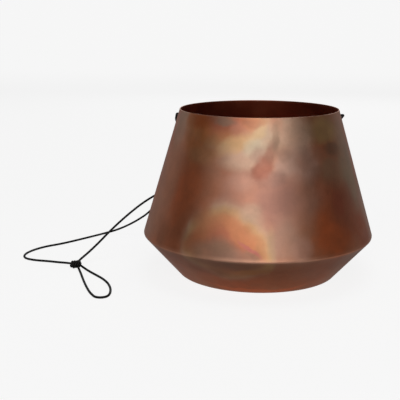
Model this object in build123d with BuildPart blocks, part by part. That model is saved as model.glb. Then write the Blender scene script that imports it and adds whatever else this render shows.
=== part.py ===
from build123d import *
import os
from math import atan2, cos, pi, radians, sin, tan

os.makedirs("parts", exist_ok=True)

# A hanging planter: a pot of two sheet-metal cones that meet at a sharp belt, on a knotted cord.
# Millimetres, +Z up, with the origin at the centre of the base's underside. The front faces -Y.

# Pot, measured outside, with the belt taken to its sharp corner
rim_diameter = 204.0
belt_diameter = 300.0
base_diameter = 208.0
pot_height = 214.0
belt_height = 51.5
sheet_thickness = 1.0
base_thickness = 1.0
belt_edge_radius = 3.0
rim_edge_radius = 0.35

# Solder inside the pot: a flat-faced fillet round each joint, and a low bead over each rolled cone's closing
# seam, which lies in front, turned a little to the left. A film of flux keeps the solder off the sheet.
solder_leg = 4.0
solder_gap = 0.15
seam_bearing = 165.0
seam_angle = 2.0
seam_height = 0.6
seam_end_gap = 1.5

# Cord, its holes under the rim and the knots that stop its ends
cord_diameter = 3.0
hole_diameter = 4.0
hole_drop = 8.0
stub_reach = 0.2
stopper_diameter = 9.0
stopper_length = 9.6
stopper_turns = 2
stopper_slack = 6.0
stopper_seat_gap = 0.3
tail_length = 16.0
tail_inward = 0.5
tail_backward = 0.25
tail_downward = 0.83

# Knot that ties the two legs and the loop together, where it lies, and how deep a knot's turns are cut
loop_knot_diameter = 11.2
loop_knot_length = 16.0
loop_knot_turns = 3
loop_knot_centre = Vector(-240.5, -21.5, loop_knot_diameter / 2)
loop_knot_way = Vector(0.95, 0.31, 0).normalized()
knot_groove = 1.2

# An arc of the cord takes up to this share of the shorter of the two runs that it joins
arc_share = 0.45

# Lines of the pot's section
rim_radius = rim_diameter / 2
belt_radius = belt_diameter / 2
base_radius = base_diameter / 2
upper_tilt = atan2(belt_radius - rim_radius, pot_height - belt_height)
lower_tilt = atan2(belt_radius - base_radius, belt_height)
upper_across = sheet_thickness / cos(upper_tilt)
lower_across = sheet_thickness / cos(lower_tilt)
corner_rise = (lower_across - upper_across) / (tan(upper_tilt) + tan(lower_tilt))


def upper_inside(height):
    """Inner radius of the upper cone at a height."""
    return belt_radius - upper_across - (height - belt_height) * tan(upper_tilt)


def lower_inside(height):
    """Inner radius of the lower cone at a height."""
    return base_radius - lower_across + height * tan(lower_tilt)


inner_corner = Vector(upper_inside(belt_height + corner_rise), belt_height + corner_rise)
belt_plane = Plane.XY.offset(belt_height)

# Cord holes: one on each side, square to the wall
hole_height = pot_height - hole_drop
hole_radius_out = belt_radius - (hole_height - belt_height) * tan(upper_tilt)
backward = Vector(0, 1, 0)


def hole_centre(side):
    """Centre of a cord hole on the wall's outer face; side is -1 at the left and 1 at the right."""
    return Vector(side * hole_radius_out, 0, hole_height)


def hole_outward(side):
    """Direction straight out of a cord hole."""
    return Vector(side * cos(upper_tilt), 0, sin(upper_tilt))


def from_hole(side, out, back, up):
    """Point measured from a cord hole: out of the wall, towards the back, and up along the wall."""
    wall_up = Vector(-side * sin(upper_tilt), 0, cos(upper_tilt))
    return hole_centre(side) + hole_outward(side) * out + backward * back + wall_up * up


# Section of both walls in one piece, with the belt's outer corner rounded
with BuildSketch(Plane.YZ) as wall_section:
    with BuildLine():
        Polyline(
            (rim_radius, pot_height),
            (belt_radius, belt_height),
            (base_radius, 0),
            (lower_inside(0), 0),
            inner_corner,
            (upper_inside(pot_height), pot_height),
            close=True,
        )
    make_face()
    fillet(wall_section.vertices().sort_by(Axis.X)[-1], radius=belt_edge_radius)

# Upper wall: the cone above the belt, with an eased rim and the two cord holes
with BuildPart() as upper_wall:
    add(wall_section.sketch)
    revolve(axis=Axis.Z)
    split(bisect_by=belt_plane, keep=Keep.TOP)
    rim_edges = upper_wall.edges().group_by(Axis.Z)[-1]
    fillet(rim_edges, radius=min(rim_edge_radius, arc_share * upper_across))
    with Locations(*[Plane(origin=hole_centre(side), z_dir=hole_outward(side)) for side in (-1, 1)]):
        Hole(hole_diameter / 2, depth=2 * sheet_thickness)
upper_wall.part.label = "upper_wall"
export_step(upper_wall.part, "parts/upper_wall.step")

# Lower wall: the cone under the belt
with BuildPart() as lower_wall:
    add(wall_section.sketch)
    revolve(axis=Axis.Z)
    split(bisect_by=belt_plane, keep=Keep.BOTTOM)
lower_wall.part.label = "lower_wall"
export_step(lower_wall.part, "parts/lower_wall.step")

# Base disc: let into the foot of the lower wall, flush underneath
with BuildPart() as base_disc:
    with BuildSketch(Plane.YZ):
        with BuildLine():
            Polyline(
                (0, 0),
                (lower_inside(0), 0),
                (lower_inside(base_thickness), base_thickness),
                (0, base_thickness),
                close=True,
            )
        make_face()
    revolve(axis=Axis.Z)
base_disc.part.label = "base_disc"
export_step(base_disc.part, "parts/base_disc.step")

# Solder fillets: each fills a corner between two walls, with legs along both and a flat face
upper_wall_up = Vector(-sin(upper_tilt), cos(upper_tilt))
lower_wall_up = Vector(sin(lower_tilt), cos(lower_tilt))
base_corner = Vector(lower_inside(base_thickness), base_thickness)
solder_corners = {
    "belt_solder": (inner_corner, upper_wall_up, -lower_wall_up),
    "base_solder": (base_corner, lower_wall_up, Vector(-1, 0)),
}
for name, (wall_corner, first_way, second_way) in solder_corners.items():
    corner = wall_corner + (first_way + second_way) * solder_gap
    first_toe = corner + first_way * solder_leg
    second_toe = corner + second_way * solder_leg
    with BuildPart() as solder:
        with BuildSketch(Plane.YZ):
            with BuildLine():
                Polyline(corner, first_toe, second_toe, close=True)
            make_face()
        revolve(axis=Axis.Z)
    solder.part.label = name
    export_step(solder.part, f"parts/{name}.step")

# Seam beads: inside, over the closing seam of each rolled cone, clear of the solder fillets
seam_plane = Plane.YZ.rotated((0, 0, seam_bearing - seam_angle / 2))
belt_clear = solder_leg * cos(lower_tilt) + seam_end_gap
seam_spans = {
    "upper_seam_bead": (
        upper_inside,
        seam_height / cos(upper_tilt),
        inner_corner.Y + solder_leg * cos(upper_tilt) + seam_end_gap,
        pot_height - seam_end_gap,
    ),
    "lower_seam_bead": (
        lower_inside,
        seam_height / cos(lower_tilt),
        base_thickness + belt_clear,
        inner_corner.Y - belt_clear,
    ),
}
for name, (inside, across, foot, head) in seam_spans.items():
    with BuildPart() as seam_bead:
        with BuildSketch(seam_plane):
            with BuildLine():
                Polyline(
                    (inside(foot) - solder_gap, foot),
                    (inside(head) - solder_gap, head),
                    (inside(head) - across, head),
                    (inside(foot) - across, foot),
                    close=True,
                )
            make_face()
        revolve(axis=Axis.Z, revolution_arc=seam_angle)
    seam_bead.part.label = name
    export_step(seam_bead.part, f"parts/{name}.step")


def knot_turns(front, length, crest_radius, turns):
    """Outline of a knot from its front end backwards: one arc over each turn of cord."""
    step = length / turns
    groove_radius = crest_radius - knot_groove
    for turn in range(turns):
        start = front - turn * step
        ThreePointArc(
            (start, groove_radius), (start - step / 2, crest_radius), (start - step, groove_radius)
        )


# Stopper knots: each on a stub of cord through its hole, lying slack inside the wall, with a bare tail
stopper_front = -(sheet_thickness + stopper_slack + stopper_seat_gap)
stopper_back = stopper_front - stopper_length
stopper_groove_radius = stopper_diameter / 2 - knot_groove
for name, side in (("left_stopper_knot", -1), ("right_stopper_knot", 1)):
    hole_section = Plane(origin=hole_centre(side), x_dir=hole_outward(side), z_dir=backward)
    tail_way = Vector(-side * tail_inward, tail_backward, -tail_downward)
    with BuildPart() as stopper_knot:
        with BuildSketch(hole_section):
            with BuildLine():
                Polyline(
                    (stopper_back, stopper_groove_radius),
                    (stopper_back, 0),
                    (stub_reach, 0),
                    (stub_reach, cord_diameter / 2),
                    (stopper_front, cord_diameter / 2),
                    (stopper_front, stopper_groove_radius),
                )
                knot_turns(stopper_front, stopper_length, stopper_diameter / 2, stopper_turns)
            make_face()
        revolve(axis=Axis(hole_centre(side), hole_outward(side)))
        knot_middle = from_hole(side, (stopper_front + stopper_back) / 2, 0, 0)
        with BuildSketch(Plane(origin=knot_middle, z_dir=tail_way)):
            Circle(cord_diameter / 2)
        extrude(amount=tail_length)
    stopper_knot.part.label = name
    export_step(stopper_knot.part, f"parts/{name}.step")

# Loop knot: lies on the surface at the left, lengthwise across the strands that come out of it
loop_knot_front = loop_knot_length / 2
loop_knot_groove_radius = loop_knot_diameter / 2 - knot_groove
with BuildPart() as loop_knot:
    with BuildSketch(Plane(origin=loop_knot_centre, x_dir=loop_knot_way, z_dir=(0, 0, 1))):
        with BuildLine():
            Polyline(
                (-loop_knot_front, loop_knot_groove_radius),
                (-loop_knot_front, 0),
                (loop_knot_front, 0),
                (loop_knot_front, loop_knot_groove_radius),
            )
            knot_turns(loop_knot_front, loop_knot_length, loop_knot_diameter / 2, loop_knot_turns)
        make_face()
    revolve(axis=Axis(loop_knot_centre, loop_knot_way))
loop_knot.part.label = "loop_knot"
export_step(loop_knot.part, "parts/loop_knot.step")

# Cord routes, point by point. Each leg turns sharply at its hole, so its first points are measured from it.
left_route = [
    from_hole(-1, stub_reach, 0, 0),
    from_hole(-1, 2.1, 0, 0),
    from_hole(-1, 3.7, 0.8, -0.6),
    from_hole(-1, 4.6, 2.25, -1.65),
    from_hole(-1, 4.75, 4.8, -3.6),
    from_hole(-1, 4.5, 9.2, -7.0),
    Vector(-111.2, 17.2, 194.7),
    Vector(-112.0, 33.0, 182.0),
    Vector(-115.0, 60.0, 157.0),
    Vector(-120.0, 86.0, 130.0),
    Vector(-128.0, 111.0, 101.0),
    Vector(-141.0, 133.5, 69.5),
    Vector(-160.5, 151.0, 39.5),
    Vector(-186.0, 161.0, 20.0),
    Vector(-212.5, 161.0, 6.8),
    Vector(-236.0, 150.0, 2.1),
    Vector(-261.0, 121.0, 1.55),
    Vector(-285.0, 92.0, 1.55),
    Vector(-307.0, 74.0, 1.55),
    Vector(-320.0, 53.0, 1.55),
    Vector(-325.5, 33.0, 1.55),
    Vector(-321.0, 15.0, 1.55),
    Vector(-305.0, 6.0, 1.55),
    Vector(-285.0, 3.0, 1.55),
    Vector(-268.5, -3.2, 2.2),
    Vector(-256.8, -10.6, 3.9),
    Vector(-248.6, -17.8, 5.6),
    Vector(-242.8, -21.6, 6.0),
]
right_route = [
    from_hole(1, stub_reach, 0, 0),
    from_hole(1, 2.1, 0, 0),
    from_hole(1, 3.75, 1.0, -0.1),
    from_hole(1, 4.65, 2.65, -0.35),
    from_hole(1, 4.8, 5.6, -1.0),
    from_hole(1, 4.5, 10.8, -2.65),
    Vector(109.6, 20.7, 199.4),
    Vector(107.0, 41.0, 190.0),
    Vector(97.0, 72.0, 176.0),
    Vector(79.0, 104.0, 160.0),
    Vector(53.0, 135.0, 144.0),
    Vector(18.0, 156.0, 128.0),
    Vector(-22.0, 164.0, 113.5),
    Vector(-63.0, 155.0, 101.5),
    Vector(-100.0, 129.0, 92.5),
    Vector(-131.0, 96.0, 85.5),
    Vector(-158.0, 69.0, 74.0),
    Vector(-182.0, 51.0, 56.5),
    Vector(-203.0, 37.0, 38.0),
    Vector(-219.0, 23.0, 22.0),
    Vector(-230.5, 7.0, 12.5),
    Vector(-236.6, -7.6, 9.0),
    Vector(-239.4, -18.4, 7.0),
]
loop_route = [
    Vector(-238.2, -22.6, 4.8),
    Vector(-234.3, -32.0, 3.0),
    Vector(-229.2, -45.0, 1.65),
    Vector(-222.6, -65.0, 1.55),
    Vector(-215.9, -85.0, 1.55),
    Vector(-208.9, -104.0, 1.55),
    Vector(-201.8, -121.6, 1.55),
    Vector(-195.5, -132.9, 1.55),
    Vector(-192.0, -138.1, 1.55),
    Vector(-186.0, -140.0, 1.55),
    Vector(-180.2, -137.9, 1.55),
    Vector(-176.8, -132.6, 1.55),
    Vector(-176.3, -121.0, 1.55),
    Vector(-179.3, -103.5, 1.55),
    Vector(-186.0, -84.5, 1.55),
    Vector(-195.5, -68.0, 1.55),
    Vector(-206.0, -54.5, 1.55),
    Vector(-216.0, -42.8, 1.8),
    Vector(-225.5, -32.4, 3.0),
    Vector(-233.6, -23.6, 4.8),
]


def arc_radii(route):
    """Radius of the arc at each inner point of a route, as large as the two runs there allow."""
    radii = []
    for before, here, after in zip(route, route[1:], route[2:]):
        run_in = here - before
        run_out = after - here
        half_turn = radians(run_in.get_angle(run_out)) / 2
        radii.append(arc_share * min(run_in.length, run_out.length) / tan(half_turn))
    return radii


# Cord: the two legs, from the holes to the knot, and the hanging loop, as tubes along their routes
cord_routes = {"left_cord_leg": left_route, "right_cord_leg": right_route, "hanging_loop": loop_route}
for name, route in cord_routes.items():
    radii = arc_radii(route)
    with BuildPart() as cord:
        with BuildLine() as path:
            FilletPolyline(*route, radius=radii)
        with BuildSketch(Plane(origin=path.line @ 0, z_dir=path.line % 0)):
            Circle(cord_diameter / 2)
        sweep()
    cord.part.label = name
    export_step(cord.part, f"parts/{name}.step")
    length = path.wire().length
    section_volume = pi * cord_diameter**2 / 4 * length
    volume_share = cord.part.volume / section_volume
    print(f"{name}: length {length:.1f} mm, volume {volume_share:.4f} of section times length")
    print("  radii", [round(radius, 1) for radius in radii])
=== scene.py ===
"""Hanging planter of heat-tinted copper sheet, on a knotted black cord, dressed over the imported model."""

import logging
from dataclasses import dataclass
from enum import Enum
from math import asin, atan2, cos, pi, radians, sin, tan
from typing import Any

import bmesh
import bpy
import numpy as np
from mathutils import Matrix, Vector


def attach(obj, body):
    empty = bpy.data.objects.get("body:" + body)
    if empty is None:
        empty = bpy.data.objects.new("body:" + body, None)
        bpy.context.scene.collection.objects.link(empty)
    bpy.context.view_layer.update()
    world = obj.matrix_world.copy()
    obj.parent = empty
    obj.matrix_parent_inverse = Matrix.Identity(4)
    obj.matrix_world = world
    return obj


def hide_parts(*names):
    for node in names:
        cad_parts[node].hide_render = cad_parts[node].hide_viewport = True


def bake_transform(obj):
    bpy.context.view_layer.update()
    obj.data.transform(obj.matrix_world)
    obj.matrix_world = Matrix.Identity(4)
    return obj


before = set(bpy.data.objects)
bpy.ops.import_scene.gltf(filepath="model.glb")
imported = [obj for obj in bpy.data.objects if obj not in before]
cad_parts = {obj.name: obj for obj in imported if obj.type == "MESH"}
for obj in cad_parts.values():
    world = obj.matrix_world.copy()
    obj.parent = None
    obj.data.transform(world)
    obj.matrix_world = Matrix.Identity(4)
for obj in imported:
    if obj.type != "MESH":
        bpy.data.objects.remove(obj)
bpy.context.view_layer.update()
LOG = logging.getLogger("planter")
MERGE_DISTANCE = 2e-6

Array = np.ndarray
Colour = tuple[float, float, float]
Material = bpy.types.Material
Piece = bpy.types.Object
Point = tuple[float, float, float]
Socket = bpy.types.NodeSocket


class Body(Enum):
    """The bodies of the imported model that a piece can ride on."""

    POT = "pot"
    LEFT_END = "left_cord_end"
    RIGHT_END = "right_cord_end"


class Side(Enum):
    """The two sides of the pot that have a cord hole, as signs along X."""

    LEFT = -1
    RIGHT = 1


class Slot(Enum):
    """The record's material slots."""

    COPPER = "tinted_copper"
    SOLDER = "solder"
    CORD = "black_cord"


def shade(red: float, green: float, blue: float) -> Colour:
    """Turn a shade written on the 0 to 255 display scale into linear light.

    Args:
        red, green, blue: display values.

    Returns:
        The same shade in linear light.
    """
    display = np.array([red, green, blue]) / 255.0
    linear = np.where(display > 0.04045, ((display + 0.055) / 1.055) ** 2.4, display / 12.92)
    return tuple(float(value) for value in linear)


def fade(distance: Any, reach: float) -> Any:
    """Fall off from one by e to the power of minus the square of the distance over the reach."""
    return np.exp(-((distance / reach) ** 2))


def waves(angle: Any, *terms: tuple[float, float, float]) -> Any:
    """Sum of sine waves of an angle, each given by its height, its rate and its start."""
    return sum(height * np.sin(rate * angle + start) for height, rate, start in terms)


# Mesh helpers


def full_circle(count: int) -> Array:
    """Angles that share a full circle evenly, in radians."""
    return np.arange(count) * 2 * pi / count


def place_round(radius: Any, bearing: Any, height: Any) -> Array:
    """Points round the pot's axis; a bearing of nought faces the front and grows to the right."""
    return np.stack([radius * np.sin(bearing), -radius * np.cos(bearing), height], axis=-1)


def ring_faces(rows: int, columns: int, closed_rows: bool) -> Array:
    """Number the quads of a grid that closes round its columns.

    Args:
        rows: number of rows of points.
        columns: number of points in a row; the last joins the first.
        closed_rows: whether the last row joins the first one too.

    Returns:
        One row of four point numbers for each quad.
    """
    row = np.arange(rows if closed_rows else rows - 1)
    column = np.arange(columns)
    row_grid, column_grid = (part.ravel() for part in np.meshgrid(row, column, indexing="ij"))
    next_row = (row_grid + 1) % rows
    next_column = (column_grid + 1) % columns
    return np.stack(
        [
            row_grid * columns + column_grid,
            row_grid * columns + next_column,
            next_row * columns + next_column,
            next_row * columns + column_grid,
        ],
        axis=1,
    )


def arc(centre: tuple[float, float], radius: float, start: float, end: float, count: int) -> Array:
    """Points of a circular arc in the section plane, at equal angles.

    Args:
        centre: the arc's centre, radius first and height second.
        radius: the arc's radius.
        start, end: angles from the outward direction, in radians.
        count: number of points.

    Returns:
        The points, one row each.
    """
    angle = np.linspace(start, end, count)
    return np.stack([centre[0] + radius * np.cos(angle), centre[1] + radius * np.sin(angle)], axis=1)


def round_the_axis(section: Array, bearings: Array) -> Array:
    """Carry a section round the pot's axis.

    Args:
        section: radius and height of each point, either fixed or given for every bearing.
        bearings: bearings in radians.

    Returns:
        Points of the grid, section by bearing, as rows of x, y and z.
    """
    section = section if section.ndim == 3 else np.repeat(section[:, None, :], len(bearings), axis=1)
    return place_round(section[..., 0], bearings, section[..., 1]).reshape(-1, 3)


def add_object(name: str, data: Any) -> Piece:
    """Add an object with its data to the scene, at the origin.

    Args:
        name: the object's name.
        data: its mesh, curve, camera or lamp.

    Returns:
        The new object.
    """
    thing = bpy.data.objects.new(name, data)
    bpy.context.scene.collection.objects.link(thing)
    return thing


def mesh_piece(name: str, points: Array, faces: list, sharp: float = 35.0) -> Piece:
    """Make a smooth-shaded piece of a closed surface, merged where its parts meet and facing outwards.

    Args:
        name: the piece's name.
        points: rows of x, y and z in metres.
        faces: point numbers of each face.
        sharp: edges that turn by more than this many degrees stay sharp.

    Returns:
        The new object, at the origin.
    """
    mesh = bpy.data.meshes.new(name)
    mesh.from_pydata(points.tolist(), [], faces)
    work = bmesh.new()
    work.from_mesh(mesh)
    bmesh.ops.remove_doubles(work, verts=work.verts, dist=MERGE_DISTANCE)
    bmesh.ops.recalc_face_normals(work, faces=work.faces)
    work.to_mesh(mesh)
    work.free()
    mesh.shade_smooth()
    mesh.set_sharp_from_angle(angle=radians(sharp))
    return add_object(name, mesh)


def point_values(mesh: bpy.types.Mesh) -> Array:
    """Read the points of a mesh.

    Args:
        mesh: the mesh.

    Returns:
        The points as rows of x, y and z.
    """
    values = np.empty(len(mesh.vertices) * 3, dtype=np.float32)
    mesh.vertices.foreach_get("co", values)
    return values.reshape(-1, 3)


def keep_attribute(piece: Piece, name: str, values: Array) -> None:
    """Store one number for each point of a piece, for its material to read.

    Args:
        piece: the piece.
        name: the attribute's name.
        values: one number for each point.
    """
    attribute = piece.data.attributes.new(name, "FLOAT", "POINT")
    attribute.data.foreach_set("value", np.asarray(values, dtype=np.float32))


def dress(piece: Piece, material: Material) -> None:
    """Give a piece its material.

    Args:
        piece: the piece.
        material: its material.
    """
    piece.data.materials.clear()
    piece.data.materials.append(material)


# Shader helpers


class NodeSheet:
    """One shader node tree, with short ways to add nodes, set their sockets and link them."""

    def __init__(self, tree: bpy.types.NodeTree) -> None:
        """Take a tree to work on and clear it."""
        self.tree = tree
        self.tree.nodes.clear()

    def add(self, kind: str, sockets: dict[Any, Any] | None = None, **settings: Any) -> bpy.types.Node:
        """Add a node.

        Args:
            kind: the node's type name without its "ShaderNode" prefix.
            sockets: input sockets by name or number, each with a value or an output to link.
            settings: properties of the node.

        Returns:
            The new node.
        """
        prefix = "" if kind.startswith("Node") else "ShaderNode"
        node = self.tree.nodes.new(prefix + kind)
        for key, value in settings.items():
            setattr(node, key, value)
        for key, value in (sockets or {}).items():
            self.put(node.inputs[key], value)
        return node

    def put(self, socket: Socket, value: Any) -> None:
        """Set a socket's value, or link it where the value is another node's output.

        Args:
            socket: the input socket.
            value: a value, or an output to link.
        """
        if isinstance(value, Socket):
            self.tree.links.new(value, socket)
        elif isinstance(value, (tuple, list)) and socket.type == "RGBA" and len(value) == 3:
            socket.default_value = (*value, 1.0)
        else:
            socket.default_value = value

    def maths(self, operation: str, first: Any, second: Any = 0.0, third: Any = 0.0) -> Socket:
        """Work out one number from up to three and return its output."""
        return self.add("Math", {0: first, 1: second, 2: third}, operation=operation).outputs[0]

    def vectors(self, operation: str, first: Any, second: Any = (0, 0, 0)) -> Socket:
        """Work out a vector from two, or a length or a dot product, and return its output."""
        node = self.add("VectorMath", {0: first, 1: second}, operation=operation)
        return node.outputs["Value" if operation in ("LENGTH", "DOT_PRODUCT") else "Vector"]

    def scaled(self, vector: Any, size: Any) -> Socket:
        """Multiply a vector by a number and return the output."""
        return self.add("VectorMath", {0: vector, "Scale": size}, operation="SCALE").outputs[0]

    def ease(self, value: Any, low: Any, high: Any, to_low: float = 0.0, to_high: float = 1.0) -> Any:
        """Ease a number from one range to another, level at both ends.

        Args:
            value: the number.
            low, high: the range it comes from.
            to_low, to_high: the range it goes to.

        Returns:
            The output with the eased number.
        """
        sockets = {"Value": value, 1: low, 2: high, 3: to_low, 4: to_high}
        return self.add("MapRange", sockets, interpolation_type="SMOOTHSTEP").outputs[0]

    def blend(self, share: Any, under: Any, over: Any, mode: str = "MIX") -> Socket:
        """Mix two colours and return the output."""
        node = self.add("Mix", {0: share, 6: under, 7: over}, data_type="RGBA", blend_type=mode)
        return node.outputs[2]

    def noise(
        self, point: Any, scale: float, detail: float = 3.0, rough: float = 0.55, output: str = "Fac"
    ) -> Socket:
        """Add a cloud noise on a point and return one of its outputs."""
        sockets = {"Vector": point, "Scale": scale, "Detail": detail, "Roughness": rough}
        return self.add("TexNoise", sockets).outputs[output]

    def cloud(
        self, point: Any, scale: float, detail: float, low: float, high: float, rough: float = 0.55
    ) -> Socket:
        """Let a number drift between two values with the middle range of a cloud noise."""
        return self.ease(self.noise(point, scale, detail, rough), 0.3, 0.7, low, high)

    def object_point(self) -> Socket:
        """Return the place on the object."""
        return self.add("TexCoord").outputs["Object"]

    def bump(self, height: Any, strength: float, distance: float, under: Any = None) -> Any:
        """Turn a height into a bumped normal.

        Args:
            height: the height, from 0 to 1.
            strength: the bump's strength, from 0 to 1.
            distance: what a height of 1 stands for, in metres.
            under: a bumped normal that this one is added to.

        Returns:
            The normal's output.
        """
        sockets = {"Strength": strength, "Distance": distance, "Height": height}
        if under is not None:
            sockets["Normal"] = under
        return self.add("Bump", sockets).outputs[0]

    def end_with(self, colour: Any, rough: Any, normal: Any, others: dict[str, float]) -> None:
        """End the sheet with one principled surface.

        Args:
            colour, rough, normal: outputs with the surface's colour, roughness and normal.
            others: values of its other input sockets, by name.
        """
        sockets = {"Base Color": colour, "Roughness": rough, "Normal": normal}
        surface = self.add("BsdfPrincipled", sockets | others)
        self.add("OutputMaterial", {"Surface": surface.outputs[0]})

    def ramp(self, value: Any, stops: tuple[tuple[float, Colour], ...]) -> Socket:
        """Turn a number into a colour.

        Args:
            value: the number, from 0 to 1.
            stops: places from 0 to 1, each with its colour.

        Returns:
            The colour's output.
        """
        node = self.add("ValToRGB", {0: value})
        elements = node.color_ramp.elements
        elements[0].position, elements[0].color = stops[0][0], (*stops[0][1], 1.0)
        elements[1].position, elements[1].color = stops[-1][0], (*stops[-1][1], 1.0)
        for place, colour in stops[1:-1]:
            elements.new(place).color = (*colour, 1.0)
        return node.outputs[0]


def start_group(name: str, inputs: dict[str, str], outputs: dict[str, str]) -> tuple[NodeSheet, Any, Any]:
    """Start a shader node group.

    Args:
        name: the group's name.
        inputs, outputs: socket names, each with "Float", "Vector" or "Color".

    Returns:
        The sheet to build on, the group's input node and its output node.
    """
    tree = bpy.data.node_groups.new(name, "ShaderNodeTree")
    sheet = NodeSheet(tree)
    for direction, sockets in (("INPUT", inputs), ("OUTPUT", outputs)):
        for key, kind in sockets.items():
            tree.interface.new_socket(name=key, in_out=direction, socket_type="NodeSocket" + kind)
    return sheet, sheet.add("NodeGroupInput"), sheet.add("NodeGroupOutput")


def start_material(name: str) -> tuple[Material, NodeSheet]:
    """Start a node material.

    Args:
        name: the material's name.

    Returns:
        The material and its sheet.
    """
    material = bpy.data.materials.new(name)
    material.use_nodes = True
    return material, NodeSheet(material.node_tree)


# Pot


@dataclass(frozen=True)
class PotShape:
    """Sizes of the pot in metres, measured outside, with the belt taken to its sharp corner."""

    rim_radius: float = 0.102
    belt_radius: float = 0.150
    base_radius: float = 0.104
    height: float = 0.214
    belt_height: float = 0.0515
    sheet: float = 0.001
    belt_edge: float = 0.003
    rim_edge: float = 0.00035
    foot_edge: float = 0.0004
    hole_height: float = 0.206
    hole_radius: float = 0.002

    @property
    def upper_tilt(self) -> float:
        """Lean of the upper cone from upright."""
        return atan2(self.belt_radius - self.rim_radius, self.height - self.belt_height)

    @property
    def lower_tilt(self) -> float:
        """Lean of the lower cone from upright."""
        return atan2(self.belt_radius - self.base_radius, self.belt_height)

    def upper(self, height: Any, depth: float = 0.0) -> Any:
        """Radius of the upper cone at a height, at a depth into its sheet."""
        fall = (height - self.belt_height) * tan(self.upper_tilt)
        return self.belt_radius - depth / cos(self.upper_tilt) - fall

    def lower(self, height: Any, depth: float = 0.0) -> Any:
        """Radius of the lower cone at a height, at a depth into its sheet."""
        return self.base_radius - depth / cos(self.lower_tilt) + height * tan(self.lower_tilt)

    @property
    def inner_corner(self) -> tuple[float, float]:
        """Find the corner between the two cones' inner faces.

        Returns:
            Its radius and height.
        """
        across = self.sheet / cos(self.lower_tilt) - self.sheet / cos(self.upper_tilt)
        height = self.belt_height + across / (tan(self.upper_tilt) + tan(self.lower_tilt))
        return self.upper(height, self.sheet), height

    @property
    def belt_arc(self) -> tuple[tuple[float, float], float]:
        """Find the belt's rounded edge, which touches both cones: its centre lies on the line between them.

        Returns:
            The centre's radius and height, and the angle at which the two walls meet on the edge.
        """
        way = np.array(
            [-sin(self.upper_tilt) - sin(self.lower_tilt), cos(self.upper_tilt) - cos(self.lower_tilt)]
        )
        half = (pi - self.upper_tilt - self.lower_tilt) / 2
        centre = np.array([self.belt_radius, self.belt_height])
        centre = centre + way / np.linalg.norm(way) * self.belt_edge / sin(half)
        return (float(centre[0]), float(centre[1])), asin((self.belt_height - centre[1]) / self.belt_edge)

    def wall_frame(self, bearing: float, height: float) -> tuple[Array, Array, Array, Array]:
        """Place on the pot's outer face.

        Args:
            bearing: degrees from the front towards the right.
            height: height in metres.

        Returns:
            The point, and the directions to the right, up along the wall and outwards there.
        """
        upper = height >= self.belt_height
        lean = self.upper_tilt if upper else -self.lower_tilt
        radius = self.upper(height) if upper else self.lower(height)
        turn = radians(bearing)
        radial = np.array([sin(turn), -cos(turn), 0.0])
        right = np.array([cos(turn), sin(turn), 0.0])
        axis = np.array([0.0, 0.0, 1.0])
        up = axis * cos(lean) - radial * sin(lean)
        out = radial * cos(lean) + axis * sin(lean)
        return radial * radius + axis * height, right, up, out


@dataclass(frozen=True)
class EdgeWearAndHighlight:
    """Wear of the pot's rim and foot, and a painted highlight along the belt's rounded edge: the strength on
    each edge, and the reach from the edge in metres.

    The belt's painted highlight lies a little above its corner, where the rounded edge catches the front
    light, and is strongest round a bearing at the front, in radians.
    """

    belt: float = 0.4
    belt_highlight_at_front: float = 0.6
    belt_rise: float = 0.0004
    belt_reach: float = 0.0014
    front: float = 0.04
    front_spread: float = 0.5
    rim: float = 0.3
    rim_reach: float = 0.0007
    foot: float = 0.5
    foot_reach: float = 0.0016


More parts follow.
